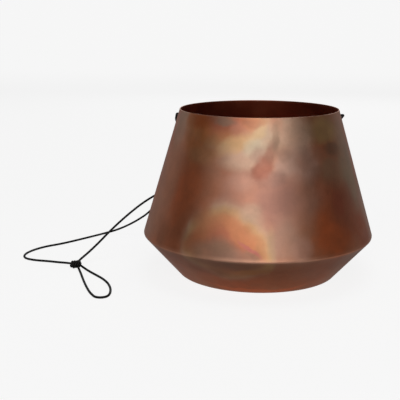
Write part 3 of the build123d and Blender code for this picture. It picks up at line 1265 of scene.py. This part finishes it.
@dataclass(frozen=True)
class TintedCopper:
    """Heat-tinted copper sheet: a brown that drifts between red and umber, under the marks of the flame.

    The marks thin out over a short drop to the belt. Under the belt the colour is warmed, and its level falls
    over a span of heights from a painted reflection of the floor at the foot to a painted shade under the
    belt; it changes over at the belt between a drop under it and a rise over it, all in metres.
    """

    shape: PotShape
    red_brown: Colour = shade(198, 114, 76)
    umber: Colour = shade(190, 128, 96)
    inside: Colour = shade(184, 100, 70)
    # Colour of the worn edges and of the painted highlight along the belt.
    worn_edge_and_highlight: Colour = shade(244, 184, 154)
    floor_dark: Colour = shade(112, 56, 36)
    floor_light: Colour = shade(150, 82, 54)
    fade_beyond: float = 0.65
    cover_under_belt: float = 0.72
    # Painted shade under the belt, warmed, and a painted reflection of the floor at the foot.
    shade_tint_under_belt: Colour = (1.0, 0.94, 0.82)
    painted_light_at_foot: float = 1.14
    painted_shade_under_belt: float = 0.72
    painted_shade_span: tuple[float, float] = (0.002, 0.046)
    thinning_drop: float = 0.003
    change_drop: float = 0.001
    change_rise: float = 0.0003
    mark_sockets: tuple[str, ...] = ("Point", "Centre", "Along", "Over", "Out")

    def front_marks(self) -> tuple[HeatMark, ...]:
        """List the flame's marks on the front, from the broad tints to the small spots.

        Returns:
            The marks, in the order in which they are laid.
        """
        torch = Mark.TORCH
        return (
            HeatMark(0, 0.125, 0.078, 0.050, (194, 140, 118), 0.85),
            HeatMark(10, 0.122, 0.026, 0.030, (180, 130, 115), 0.55),
            HeatMark(-10, 0.144, 0.020, 0.014, (206, 154, 132), 0.7),
            HeatMark(26, 0.128, 0.012, 0.032, (210, 150, 124), 0.5),
            HeatMark(-29, 0.124, 0.020, 0.026, (192, 122, 88), 0.65),
            HeatMark(-25, 0.213, 0.062, 0.041, strength=0.95, kind=torch),
            HeatMark(-43, 0.112, 0.026, 0.072, (200, 110, 68), 0.9),
            HeatMark(-43, 0.186, 0.021, 0.032, (200, 122, 70), 0.85),
            HeatMark(-46, 0.208, 0.022, 0.012, (184, 98, 50), 0.85),
            HeatMark(-64, 0.196, 0.018, 0.036, (174, 138, 114), 0.85),
            HeatMark(-51, 0.196, 0.010, 0.020, (174, 110, 68), 0.7),
            HeatMark(-63, 0.120, 0.026, 0.075, (186, 124, 92), 0.8),
            HeatMark(-37, 0.167, 0.020, 0.012, (204, 148, 106), 0.55),
            HeatMark(-30, 0.180, 0.013, 0.013, (194, 132, 90), 0.65),
            HeatMark(-13, 0.199, 0.012, 0.010, (206, 142, 118), 0.6),
            HeatMark(3, 0.188, 0.024, 0.020, (200, 174, 148), 0.85),
            HeatMark(-9, 0.169, 0.030, 0.014, (220, 182, 156), 0.8),
            HeatMark(-14, 0.185, 0.028, 0.009, (226, 180, 132), 0.8, lean=-25),
            HeatMark(-4, 0.183, 0.013, 0.011, (216, 196, 166), 0.6),
            HeatMark(0, 0.200, 0.008, 0.010, (206, 172, 130), 0.7, lean=38),
            HeatMark(-3, 0.209, 0.014, 0.006, (176, 120, 94), 0.8),
            HeatMark(-23, 0.207, 0.015, 0.005, (158, 124, 104), 0.75),
            HeatMark(23, 0.197, 0.025, 0.028, (232, 190, 162), 0.95),
            HeatMark(26, 0.162, 0.028, 0.026, (212, 168, 148), 0.75),
            HeatMark(15, 0.162, 0.014, 0.016, (214, 174, 154), 0.7),
            HeatMark(47, 0.199, 0.026, 0.018, (198, 156, 104), 0.85),
            HeatMark(48, 0.148, 0.026, 0.022, (178, 136, 106), 0.8),
            HeatMark(65, 0.146, 0.024, 0.066, (174, 146, 118), 0.85),
            HeatMark(42, 0.078, 0.036, 0.040, (206, 108, 62), 0.95),
            HeatMark(50, 0.106, 0.030, 0.032, (172, 98, 68), 0.85),
            HeatMark(64, 0.070, 0.024, 0.034, (182, 94, 52), 0.9),
            HeatMark(78, 0.100, 0.016, 0.036, (172, 138, 112), 0.55),
            HeatMark(39, 0.069, 0.020, 0.018, (226, 118, 68), 0.7),
            HeatMark(47, 0.110, 0.012, 0.016, (174, 90, 64), 0.6),
            HeatMark(51, 0.175, 0.014, 0.009, (150, 112, 86), 0.75),
            HeatMark(40, 0.172, 0.010, 0.008, (182, 124, 94), 0.5),
            HeatMark(15, 0.172, 0.009, 0.008, (172, 132, 112), 0.55),
            HeatMark(-14.5, 0.065, 0.064, 0.056, strength=0.92, lean=14, deep=0.046, kind=torch),
            HeatMark(-31, 0.104, 0.017, 0.018, (194, 120, 86), 0.8, lean=35),
            HeatMark(-2, 0.108, 0.015, 0.011, (200, 166, 140), 0.6),
            HeatMark(-42, 0.076, 0.010, 0.030, (186, 110, 74), 0.85, lean=24),
            HeatMark(-52, 0.068, 0.014, 0.020, (170, 104, 70), 0.6),
            HeatMark(-40, 0.063, 0.014, 0.020, (184, 108, 72), 0.65),
            HeatMark(-31, 0.068, 0.009, 0.018, (190, 112, 78), 0.65, lean=25),
            HeatMark(7, 0.068, 0.006, 0.026, (202, 164, 124), 0.6),
            HeatMark(1.5, 0.070, 0.006, 0.013, (190, 136, 96), 0.6),
            HeatMark(5.5, 0.044, 0.007, 0.016, (212, 164, 112), 0.9, deep=0.03),
            HeatMark(14, 0.077, 0.018, 0.028, (194, 154, 134), 0.7),
            HeatMark(22, 0.064, 0.014, 0.018, (212, 160, 138), 0.7),
            HeatMark(-9, 0.083, 0.024, 0.009, (214, 142, 98), 0.6, lean=38),
            HeatMark(-20, 0.057, 0.030, 0.021, (162, 122, 99), 0.9, soft=0.4),
            HeatMark(-8, 0.053, 0.026, 0.015, (164, 122, 101), 0.85, soft=0.4),
            HeatMark(-3.5, 0.067, 0.017, 0.003, (198, 116, 106), 0.75, lean=41),
            HeatMark(-26, 0.030, 0.024, 0.008, (172, 108, 80), 0.8, deep=0.03),
            HeatMark(-3, 0.036, 0.024, 0.006, (212, 146, 90), 1.0, lean=-6, deep=0.03),
            HeatMark(26, 0.026, 0.060, 0.026, (192, 110, 70), 0.95, deep=0.06),
            # Painted reflection of the floor: a bright orange line along the foot at the front.
            HeatMark(0, 0.002, 0.060, 0.005, (236, 128, 82), 1.0, deep=0.03),
            HeatMark(9, 0.145, 0.013, 0.012, (164, 126, 112), 0.6),
            HeatMark(3, 0.143, 0.010, 0.011, (168, 120, 102), 0.75),
            HeatMark(0.5, 0.172, 0.010, 0.011, (184, 148, 128), 0.7),
            HeatMark(2.4, 0.157, 0.011, 0.015, (168, 104, 84), 0.85, lean=10, soft=0.45),
            HeatMark(5.4, 0.170, 0.006, 0.012, (168, 108, 88), 0.7, lean=22, soft=0.45),
            HeatMark(7.5, 0.178, 0.008, 0.015, (164, 118, 98), 0.75, lean=22),
            HeatMark(10.5, 0.194, 0.005, 0.015, (170, 136, 112), 0.7, lean=10),
        )

    def back_marks(self) -> tuple[HeatMark, ...]:
        """List the flame's marks on the back and the sides, of the same kinds as those on the front.

        Returns:
            The marks, in the order in which they are laid.
        """
        torch = Mark.TORCH
        return (
            HeatMark(148, 0.130, 0.034, 0.044, (196, 140, 117), 0.75),
            HeatMark(190, 0.124, 0.036, 0.052, (203, 110, 66), 0.85),
            HeatMark(230, 0.132, 0.034, 0.038, (205, 160, 136), 0.75),
            HeatMark(270, 0.105, 0.034, 0.044, (198, 112, 70), 0.8),
            HeatMark(98, 0.130, 0.034, 0.050, (186, 138, 104), 0.7),
            HeatMark(130, 0.062, 0.062, 0.050, strength=0.85, lean=10, deep=0.046, kind=torch),
            HeatMark(112, 0.212, 0.052, 0.036, strength=0.8, lean=-12, shift=(-0.2, 0.2), kind=torch),
            HeatMark(168, 0.216, 0.058, 0.046, strength=0.85, lean=8, shift=(0.15, 0.2), kind=torch),
            HeatMark(212, 0.058, 0.064, 0.056, strength=0.9, lean=-12, deep=0.046, kind=torch),
            HeatMark(250, 0.210, 0.050, 0.044, strength=0.8, lean=14, shift=(0.1, 0.2), kind=torch),
            HeatMark(120, 0.066, 0.026, 0.018, (162, 122, 99), 0.8, soft=0.4),
            HeatMark(146, 0.170, 0.018, 0.022, (224, 178, 148), 0.75, lean=-30),
            HeatMark(180, 0.176, 0.030, 0.014, (214, 170, 132), 0.6, lean=-18),
            HeatMark(205, 0.168, 0.011, 0.018, (168, 104, 84), 0.8, lean=24, soft=0.4),
            HeatMark(222, 0.056, 0.028, 0.018, (162, 122, 99), 0.8, soft=0.4),
            HeatMark(186, 0.084, 0.024, 0.022, (224, 120, 72), 0.6),
            HeatMark(240, 0.168, 0.020, 0.012, (220, 180, 136), 0.6, lean=20),
        )

    def place_mark(self, sheet: NodeSheet, given: bpy.types.Node) -> tuple[Any, Any]:
        """Start a mark's group: measure a point from the mark's centre, in the mark's own axes.

        Args:
            sheet: the group's sheet.
            given: the group's input node.

        Returns:
            The place in the mark's axes and its distance from the centre.
        """
        away = sheet.vectors("SUBTRACT", given.outputs["Point"], given.outputs["Centre"])
        axes = (given.outputs[name] for name in ("Along", "Over", "Out"))
        parts = [sheet.vectors("DOT_PRODUCT", away, axis) for axis in axes]
        place = sheet.add("CombineXYZ", dict(enumerate(parts))).outputs[0]
        return place, sheet.vectors("LENGTH", place)

    def patch_group(self) -> bpy.types.NodeTree:
        """Build the group for a soft patch: its cover falls from one to nought between two distances.

        Returns:
            The group's tree.
        """
        inputs = dict.fromkeys(self.mark_sockets, "Vector") | {"Full": "Float", "Gone": "Float"}
        sheet, given, result = start_group(Mark.PATCH.value, inputs, {"Cover": "Float"})
        reach = self.place_mark(sheet, given)[1]
        cover = sheet.ease(reach, given.outputs["Full"], given.outputs["Gone"], 1.0, 0.0)
        sheet.put(result.inputs["Cover"], cover)
        return sheet.tree

    def torch_group(self) -> bpy.types.NodeTree:
        """Build the group for a torch mark: rings of tint, with the inner ones moved by the shift.

        The place that a ring's tint is read from is the place in the mark's axes, less the shift times one
        minus the distance.

        Returns:
            The group's tree.
        """
        inputs = dict.fromkeys((*self.mark_sockets, "Shift"), "Vector")
        sheet, given, result = start_group(Mark.TORCH.value, inputs, {"Tint": "Color", "Cover": "Float"})
        place, reach = self.place_mark(sheet, given)
        share = sheet.maths("SUBTRACT", 1.0, sheet.maths("MINIMUM", reach, 1.0))
        move = sheet.scaled(given.outputs["Shift"], share)
        ring = sheet.vectors("LENGTH", sheet.vectors("SUBTRACT", place, move))
        rings = (
            (0.0, shade(164, 124, 102)),
            (0.18, shade(176, 120, 96)),
            (0.34, shade(190, 114, 86)),
            (0.50, shade(205, 130, 92)),
            (0.65, shade(213, 146, 102)),
            (0.78, shade(212, 164, 120)),
            (0.90, shade(207, 166, 136)),
            (1.0, shade(200, 154, 130)),
        )
        sheet.put(result.inputs["Tint"], sheet.ramp(ring, rings))
        sheet.put(result.inputs["Cover"], sheet.ease(reach, 0.82, 1.12, 1.0, 0.0))
        return sheet.tree

    def wander(self, sheet: NodeSheet, point: Any) -> Any:
        """Let the marks' outlines wander: move a point by cloud noises, from a broad one to a fine one.

        Args:
            sheet: the material's sheet.
            point: the place on the pot.

        Returns:
            The moved place.
        """
        for scale, detail, reach in ((14.0, 2.0, 0.018), (46.0, 4.0, 0.010), (120.0, 3.0, 0.003)):
            cloud = sheet.noise(point, scale, detail, output="Color")
            drift = sheet.vectors("SUBTRACT", cloud, (0.5, 0.5, 0.5))
            point = sheet.vectors("ADD", point, sheet.scaled(drift, reach))
        return point

    def tinted(self, sheet: NodeSheet, point: Any, height: Any) -> Any:
        """Lay the flame's marks over the drifting brown, patchily, and more thinly under the belt.

        Args:
            sheet: the material's sheet.
            point: the place on the pot.
            height: the place's height.

        Returns:
            The colour.
        """
        groups = {Mark.PATCH: self.patch_group(), Mark.TORCH: self.torch_group()}
        warped = self.wander(sheet, point)
        cloud = sheet.ease(sheet.noise(point, 11.0, 5.0), 0.36, 0.64)
        colour = sheet.blend(cloud, self.red_brown, self.umber)
        belt = self.shape.belt_height
        patchy = sheet.cloud(point, 26.0, 6.0, 0.8, 1.1, rough=0.6)
        lower = sheet.ease(height, belt - self.thinning_drop, belt, self.cover_under_belt, 1.0)
        thinned = sheet.maths("MULTIPLY", patchy, lower)
        for mark in self.front_marks() + self.back_marks():
            centre, along, over, out = mark.axes(self.shape)
            sockets = {"Point": warped, "Centre": centre, "Along": along, "Over": over, "Out": out}
            if mark.kind is Mark.TORCH:
                sockets["Shift"] = (*mark.shift, 0.0)
            else:
                sockets |= {"Full": 1.0 - mark.soft, "Gone": 1.0 + self.fade_beyond * mark.soft}
            placed = sheet.add("Group", sockets, node_tree=groups[mark.kind])
            tint = placed.outputs["Tint"] if mark.kind is Mark.TORCH else shade(*mark.colour)
            cover = sheet.maths("MULTIPLY", placed.outputs["Cover"], mark.strength)
            share = sheet.add("Math", {0: cover, 1: thinned}, operation="MULTIPLY", use_clamp=True)
            colour = sheet.blend(share.outputs[0], colour, tint)
        return colour

    def wall(self) -> Material:
        """Make the walls' material: the tinted copper, plain inside, bright where the edges are worn and
        where a painted highlight runs along the belt.

        Under the belt the colour is warmed, and a painted shade darkens it towards the belt, while a painted
        reflection of the floor lightens it at the foot.

        Returns:
            The material.
        """
        material, sheet = start_material("tinted_copper_wall")
        belt = self.shape.belt_height
        point = sheet.object_point()
        height = sheet.add("SeparateXYZ", {0: point}).outputs[2]
        colour = self.tinted(sheet, point, height)
        smoke = sheet.cloud(point, 38.0, 6.0, 0.92, 1.06, rough=0.62)
        # Painted shade: under the belt the colour is warmed and darkens towards the belt, and a painted
        # reflection of the floor lightens the foot; smoke mottles the tone at random.
        above = sheet.ease(height, belt - self.change_drop, belt + self.change_rise)
        fall = sheet.ease(height, *self.painted_shade_span, self.painted_light_at_foot, self.painted_shade_under_belt)
        level = sheet.add("Mix", {0: above, 2: fall, 3: 1.0}, data_type="FLOAT").outputs[0]
        level = sheet.maths("MULTIPLY", level, smoke)
        shares = [sheet.ease(above, 0.0, 1.0, share, 1.0) for share in self.shade_tint_under_belt]
        warm_shade = [sheet.maths("MULTIPLY", level, share) for share in shares]
        grey = sheet.add("CombineColor", dict(enumerate(warm_shade))).outputs[0]
        colour = sheet.blend(1.0, colour, grey, mode="MULTIPLY")
        inside = sheet.add("Attribute", attribute_name="inside").outputs["Fac"]
        colour = sheet.blend(inside, colour, self.inside)
        # Painted highlight along the belt's rounded edge, mixed with wear on the rim and the foot.
        wear_and_highlight = sheet.add("Attribute", attribute_name="edge_wear").outputs["Fac"]
        rub = sheet.ease(sheet.noise(point, 30.0, 4.0), 0.3, 0.6, 0.45, 0.95)
        colour = sheet.blend(sheet.maths("MULTIPLY", wear_and_highlight, rub), colour, self.worn_edge_and_highlight)
        grain = sheet.noise(point, 900.0, 3.0, 0.6)
        dents = sheet.noise(point, 9.0, 2.0, 0.4)
        rough = sheet.cloud(point, 26.0, 5.0, 0.4, 0.52, rough=0.6)
        fine = sheet.bump(grain, strength=0.05, distance=0.0004)
        broad = sheet.bump(dents, strength=0.25, distance=0.004, under=fine)
        coat = {"Coat Weight": 0.25, "Coat Roughness": 0.35}
        sheet.end_with(colour, rough, broad, {"Metallic": 1.0} | coat)
        return material

    def floor(self) -> Material:
        """Make the base disc's material: the inside's plain brown, clouded, with no flame marks.

        Returns:
            The material.
        """
        material, sheet = start_material("tinted_copper_base")
        point = sheet.object_point()
        cloud = sheet.cloud(point, 22.0, 5.0, 0.0, 1.0)
        colour = sheet.blend(cloud, self.floor_dark, self.floor_light)
        grain = sheet.noise(point, 700.0, 3.0, 0.6)
        rough = sheet.cloud(point, 30.0, 5.0, 0.38, 0.55, rough=0.6)
        fine = sheet.bump(grain, strength=0.08, distance=0.0004)
        sheet.end_with(colour, rough, fine, {"Metallic": 1.0})
        return material


@dataclass(frozen=True)
class DullSolder:
    """Darkened solder: a dull grey-brown metal with a pitted skin."""

    grey: Colour = shade(132, 110, 96)
    brown: Colour = shade(92, 62, 46)

    def make(self) -> Material:
        """Make the material.

        Returns:
            The material.
        """
        material, sheet = start_material("dull_solder")
        point = sheet.object_point()
        cloud = sheet.cloud(point, 90.0, 5.0, 0.0, 1.0)
        pits = sheet.noise(point, 1400.0, 3.0, 0.6)
        rough = sheet.cloud(point, 240.0, 4.0, 0.42, 0.62)
        skin = sheet.bump(pits, strength=0.2, distance=0.0003)
        colour = sheet.blend(cloud, self.brown, self.grey)
        sheet.end_with(colour, rough, skin, {"Metallic": 1.0})
        return material


@dataclass(frozen=True)
class WaxedCord:
    """Black waxed cord with a fine diamond braid."""

    black: Colour = shade(9, 9, 9)
    rubbed: Colour = shade(27, 26, 25)
    strands: float = 6.0
    pitch: float = 0.0052

    def make(self) -> Material:
        """Make the material.

        The braid is the higher of two ridges that wind round the cord in opposite ways.

        Returns:
            The material.
        """
        material, sheet = start_material("black_waxed_cord")
        place = sheet.add("SeparateXYZ", {0: sheet.add("UVMap", uv_map="cord_map").outputs[0]})
        turn = sheet.maths("MULTIPLY", place.outputs[0], self.strands)
        run = sheet.maths("DIVIDE", place.outputs[1], self.pitch / self.strands)
        ridges = [
            sheet.maths("PINGPONG", sheet.maths(way, turn, run), 0.5) for way in ("ADD", "SUBTRACT")
        ]
        braid = sheet.maths("MULTIPLY", sheet.maths("MAXIMUM", *ridges), 2.0)
        point = sheet.object_point()
        fibre = sheet.noise(point, 2600.0, 3.0, 0.6)
        wax = sheet.ease(sheet.noise(point, 120.0, 4.0), 0.35, 0.7)
        rise = sheet.maths("MULTIPLY_ADD", fibre, 0.25, braid)
        skin = sheet.bump(rise, strength=0.45, distance=0.00025)
        lit = sheet.maths("MULTIPLY", sheet.ease(braid, 0.55, 1.0), wax)
        rough = sheet.ease(wax, 0.0, 1.0, 0.4, 0.62)
        colour = sheet.blend(lit, self.black, self.rubbed)
        sheet.end_with(colour, rough, skin, {"Specular IOR Level": 0.3})
        return material


# Studio


@dataclass
class Studio:
    """The setting: camera, pale floor and backdrop, soft lamps and the room's own light.

    The camera's angles are in radians, and its lens is in millimetres. Other lengths are in metres, and light
    is given as shares of white.
    """

    camera_place: Point = (0.0, -1.08142, 0.33525)
    turn_left: float = 0.07011
    look_down: float = 0.22101
    roll: float = 0.00246
    lens: float = 75.504
    background: float = 0.922
    room: float = 0.04
    room_in_metal: float = 0.055
    floor_in_metal: float = 0.25
    floor_grey: float = 0.16
    floor_reach: float = 9.0
    glow_start: float = -0.5
    glow_near: float = 0.853
    glow_far: float = 0.866
    glow_raised: float = 0.037
    raised_span: tuple[float, float] = (-0.02, 0.08)
    backdrop_start: float = 2.4
    backdrop_bend: float = 0.8
    backdrop_points: int = 16
    backdrop_top: float = 2.4
    aim: Point = (0.0, 0.0, 0.12)

    def camera(self) -> None:
        """Set up the camera at the photograph's place."""
        data = bpy.data.cameras.new("camera")
        data.sensor_width = 36.0
        data.lens = self.lens
        data.clip_start, data.clip_end = 0.01, 100.0
        camera = add_object("camera", data)
        camera.matrix_world = (
            Matrix.Translation(self.camera_place)
            @ Matrix.Rotation(self.turn_left, 4, "Z")
            @ Matrix.Rotation(pi / 2 - self.look_down, 4, "X")
            @ Matrix.Rotation(self.roll, 4, "Z")
        )
        bpy.context.scene.camera = camera

    def seen(self, sheet: NodeSheet, in_metal: float) -> Socket:
        """Work out the share of the background that a ray shows.

        Args:
            sheet: the sheet of the floor or the world.
            in_metal: the share that metal mirrors; camera and transmission rays show all of it.

        Returns:
            The share.
        """
        path = sheet.add("LightPath")
        mirrored = sheet.maths("MULTIPLY", path.outputs["Is Glossy Ray"], in_metal)
        shown = sheet.maths("MAXIMUM", path.outputs["Is Camera Ray"], path.outputs["Is Transmission Ray"])
        return sheet.maths("MAXIMUM", shown, mirrored)

    def floor(self) -> None:
        """Lay a pale floor that shades softly under the object and runs up into a backdrop far behind it.

        The glow grows a little with the distance and the height, to make up for the lamps' falling light.
        """
        material, sheet = start_material("pale_floor")
        matt = sheet.add("BsdfDiffuse", {"Color": (self.floor_grey, self.floor_grey, self.floor_grey)})
        glow = sheet.add("Emission", {"Color": (1.0, 1.0, 1.0)})
        place = sheet.add("SeparateXYZ", {0: sheet.object_point()})
        depths = self.glow_start, self.backdrop_start
        behind = sheet.ease(place.outputs[1], *depths, self.glow_near, self.glow_far)
        raised = sheet.ease(place.outputs[2], *self.raised_span, 0.0, self.glow_raised)
        shown = self.seen(sheet, self.floor_in_metal)
        level = sheet.maths("MULTIPLY", shown, sheet.maths("ADD", behind, raised))
        sheet.put(glow.inputs["Strength"], level)
        both = sheet.add("AddShader", {0: matt.outputs[0], 1: glow.outputs[0]})
        sheet.add("OutputMaterial", {"Surface": both.outputs[0]})
        centre = (self.backdrop_start, self.backdrop_bend)
        bend = arc(centre, self.backdrop_bend, -pi / 2, 0.0, self.backdrop_points)[1:]
        ends = (-self.floor_reach, 0.0), (self.backdrop_start, 0.0)
        depth, rise = np.concatenate([ends, bend, [(bend[-1][0], self.backdrop_top)]]).T
        x, y = np.meshgrid((-self.floor_reach, self.floor_reach), depth)
        points = np.stack([x.ravel(), y.ravel(), np.repeat(rise, 2)], axis=1)
        row = np.arange(len(depth) - 1) * 2
        faces = np.stack([row, row + 1, row + 3, row + 2], axis=1)
        mesh = bpy.data.meshes.new("floor")
        mesh.from_pydata(points.tolist(), [], faces.tolist())
        mesh.shade_smooth()
        mesh.materials.append(material)
        piece = add_object("floor", mesh)

    def lamp(self, name: str, place: Point, size: tuple[float, float], power: float) -> None:
        """Hang a soft rectangular lamp that faces the aim.

        Args:
            name: the lamp's name.
            place: where it hangs.
            size: its width and height.
            power: its power in watts.
        """
        data = bpy.data.lights.new(name, "AREA")
        data.shape = "RECTANGLE"
        data.size, data.size_y = size
        data.energy = power
        lamp = add_object(name, data)
        turn = (Vector(self.aim) - Vector(place)).to_track_quat("-Z", "Y")
        lamp.matrix_world = Matrix.Translation(place) @ turn.to_matrix().to_4x4()
        lamp.visible_camera = False

    def room_light(self) -> None:
        """Light the room evenly; the camera and transmission rays see the pale background."""
        world = bpy.data.worlds.new("room")
        world.use_nodes = True
        sheet = NodeSheet(world.node_tree)
        shown = self.seen(sheet, self.room_in_metal)
        level = sheet.maths("MULTIPLY_ADD", shown, self.background - self.room, self.room)
        light = sheet.add("Background", {"Color": (1.0, 1.0, 1.0), "Strength": level})
        sheet.add("OutputWorld", {"Surface": light.outputs[0]})
        bpy.context.scene.world = world

    def build(self) -> None:
        """Set up the whole studio."""
        bpy.context.scene.view_settings.view_transform = "Standard"
        self.camera()
        self.floor()
        self.room_light()
        self.lamp("front_softbox", (0.0, -1.75, 0.85), (1.5, 1.3), 6.4)
        self.lamp("wide_softbox", (-0.2, -1.9, 0.85), (4.4, 1.4), 12.0)
        self.lamp("overhead_softbox", (0.2, 0.1, 1.9), (1.4, 1.4), 9.0)
        self.lamp("left_softbox", (-2.0, 1.0, 0.9), (1.2, 1.6), 1.5)
        self.lamp("back_softbox", (0.3, 2.1, 1.0), (1.8, 1.2), 6.0)


def main() -> None:
    """Build the studio, then the cord, the pot and its solder, and report each piece."""
    logging.basicConfig(level=logging.INFO, format="%(message)s")
    shape = PotShape()
    copper = TintedCopper(shape)
    Studio().build()
    pieces = CordWork(shape).build(WaxedCord().make())
    pieces += Pot(shape).build(copper.wall(), copper.floor())
    pieces += SolderWork(shape).build(DullSolder().make())
    for piece in pieces:
        LOG.info("%s: %d points", piece.name, len(piece.data.vertices))


if __name__ == "__main__":
    main()
